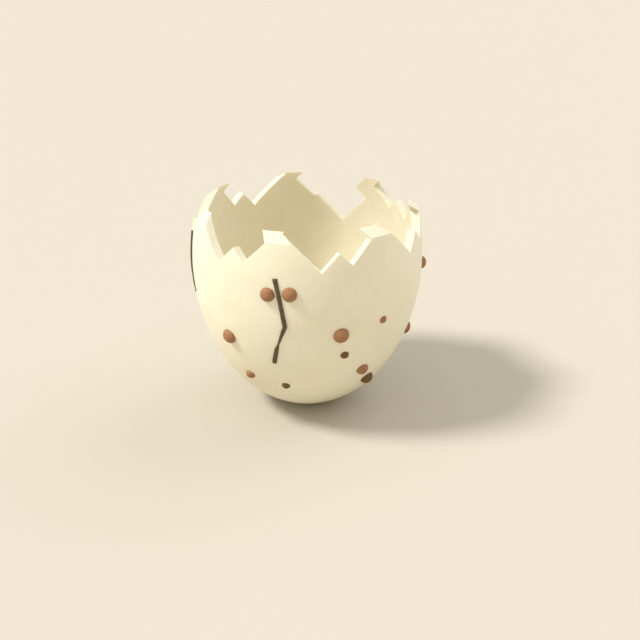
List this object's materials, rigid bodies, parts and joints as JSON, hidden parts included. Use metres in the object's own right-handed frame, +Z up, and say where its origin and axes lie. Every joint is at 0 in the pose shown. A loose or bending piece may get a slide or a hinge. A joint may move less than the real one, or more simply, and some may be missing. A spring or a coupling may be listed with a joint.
{
  "type": "cracked eggshell",
  "caption": "Broken lower cup of a hen's egg shell: thin egg-shaped wall, jagged notched rim, dry cracks and raised brown lumps, open and empty inside.",
  "frame": {"origin": "centre of the small flat spot under the shell, which rests on the surface", "axes": "+Z up along the egg's axis towards the broken rim; -Y is the front, the side with the long zigzag crack; +X is to the right of it"},
  "size_m": [0.0452, 0.0457, 0.0413],
  "materials": {
    "eggshell": "satin cream calcite with fine pores, brown raised lumps, dark dry cracks and a chalky white broken edge"
  },
  "bodies": {
    "root": {"eggshell": "eggshell"}
  },
  "joints": []
}
